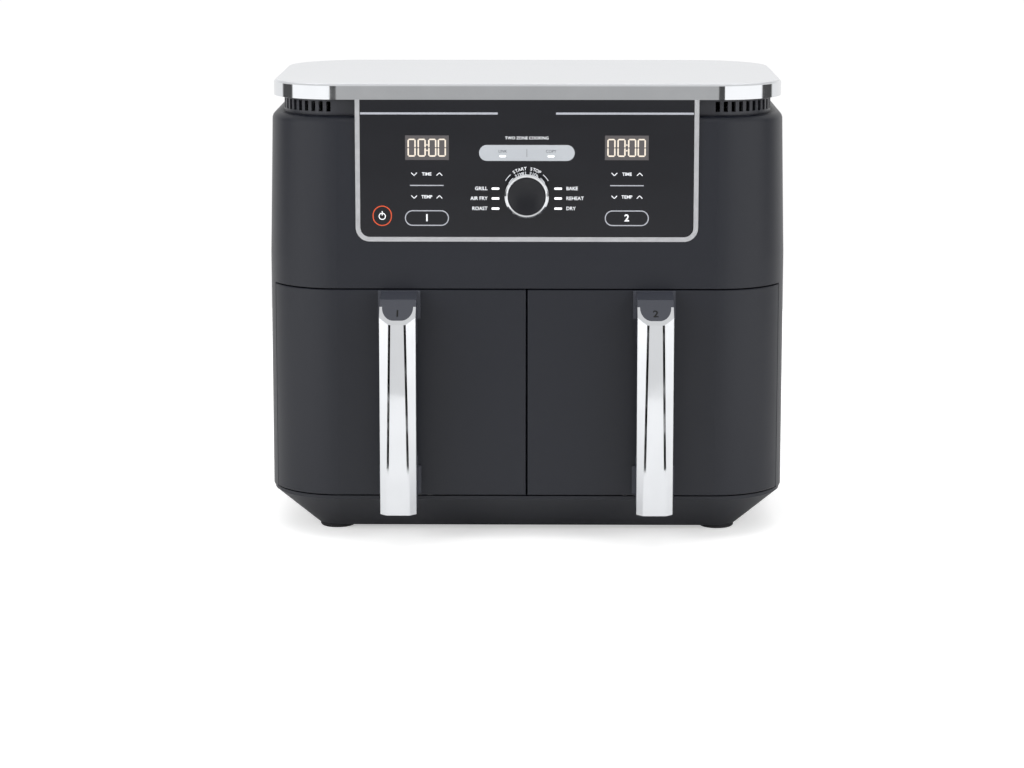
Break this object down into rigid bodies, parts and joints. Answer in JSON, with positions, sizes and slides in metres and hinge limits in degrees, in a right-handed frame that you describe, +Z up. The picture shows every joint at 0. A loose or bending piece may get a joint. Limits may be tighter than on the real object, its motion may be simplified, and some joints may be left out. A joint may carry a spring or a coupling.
{
  "type": "air fryer",
  "caption": "Twin-drawer countertop air fryer: rounded body, flat lid over a vent ring, control panel with a dial, pull-out baskets with upright handles.",
  "frame": {"origin": "centre of the footprint box, on the surface that the fryer stands on", "axes": "+Z up; the front, with the handles, faces -Y; +X is to the right as seen from the front"},
  "size_m": [0.408, 0.273, 0.361],
  "materials": {
    "housing_plastic": "satin charcoal moulding",
    "door_plastic": "satin charcoal moulding",
    "base_plastic": "satin charcoal moulding",
    "dark_plastic": "matt black moulding",
    "lid_silver": "satin silver paint",
    "chrome": "polished plating",
    "panel_gloss": "gloss film",
    "display_lens": "smoked lens",
    "grip_plastic": "satin moulding",
    "rubber": "matt",
    "silicone": "satin silicone",
    "nonstick": "non-stick coating",
    "galvanised": "sheet steel",
    "steel": "bright steel",
    "element_steel": "oxidised steel tube",
    "aluminium": "stamped sheet",
    "circuit_board": "solder mask",
    "motor_can": "zinc plated",
    "knob_face": "satin black"
  },
  "bodies": {
    "housing": {"upper_housing": "housing_plastic", "front_frame": "dark_plastic", "centre_divider": "galvanised", "rear_cover": "housing_plastic", "exhaust_grille": "dark_plastic", "cord_gland": "dark_plastic", "housing_screws": "steel", "lid_trim": "chrome", "lid_plate": "lid_silver", "vent_ring": "dark_plastic", "base_pan": "base_plastic", "rubber_feet": "rubber", "drawer_runners": "galvanised", "panel_bezel": "chrome", "control_fascia": "panel_gloss", "display_modules": "display_lens", "control_board": "circuit_board", "dial_encoder": "steel", "power_board": "circuit_board", "cavity_left": "galvanised", "cavity_right": "galvanised", "element_left": "element_steel", "element_right": "element_steel", "element_guard_left": "steel", "element_guard_right": "steel", "motor_left": "motor_can", "motor_right": "motor_can", "motor_bracket_left": "galvanised", "motor_bracket_right": "galvanised", "interlock_switch_left": "dark_plastic", "interlock_switch_right": "dark_plastic", "temperature_probe_left": "steel", "temperature_probe_right": "steel"},
    "drawer_left": {"door_left": "door_plastic", "door_liner_left": "dark_plastic", "basket_left": "nonstick", "handle_grip_left": "grip_plastic", "handle_trim_left": "chrome", "handle_screws_left": "steel"},
    "plate_left": {"crisper_plate_left": "nonstick", "plate_bumpers_left": "silicone"},
    "fan_left": {"fan_wheel_left": "aluminium", "motor_shaft_left": "steel", "cooling_fan_left": "dark_plastic"},
    "drawer_right": {"door_right": "door_plastic", "door_liner_right": "dark_plastic", "basket_right": "nonstick", "handle_grip_right": "grip_plastic", "handle_trim_right": "chrome", "handle_screws_right": "steel"},
    "plate_right": {"crisper_plate_right": "nonstick", "plate_bumpers_right": "silicone"},
    "fan_right": {"fan_wheel_right": "aluminium", "motor_shaft_right": "steel", "cooling_fan_right": "dark_plastic"},
    "dial": {"knob_ring": "chrome", "encoder_shaft": "steel"},
    "start_button": {"knob_cap": "knob_face"}
  },
  "joints": [
    {"name": "drawer_left_slide", "type": "slide", "parent": "housing", "child": "drawer_left", "axis": [0, -1, 0], "range_m": [0, 0.2]},
    {"name": "drawer_right_slide", "type": "slide", "parent": "housing", "child": "drawer_right", "axis": [0, -1, 0], "range_m": [0, 0.2]},
    {"name": "plate_left_lift", "type": "slide", "parent": "drawer_left", "child": "plate_left", "axis": [0, 0, 1], "range_m": [0, 0.09]},
    {"name": "plate_right_lift", "type": "slide", "parent": "drawer_right", "child": "plate_right", "axis": [0, 0, 1], "range_m": [0, 0.09]},
    {"name": "dial_turn", "type": "hinge", "parent": "housing", "child": "dial", "pos_m": [0, -0.11, 0.2757], "axis": [0, 1, 0], "continuous": true},
    {"name": "start_button_press", "type": "slide", "parent": "dial", "child": "start_button", "axis": [0, 1, 0], "range_m": [0, 0.0015], "stiffness_N_per_m": 700, "springref_m": -0.001},
    {"name": "fan_left_spin", "type": "hinge", "parent": "housing", "child": "fan_left", "pos_m": [-0.0995, 0.014, 0.25], "axis": [0, 0, 1], "continuous": true},
    {"name": "fan_right_spin", "type": "hinge", "parent": "housing", "child": "fan_right", "pos_m": [0.0995, 0.014, 0.25], "axis": [0, 0, 1], "continuous": true}
  ]
}
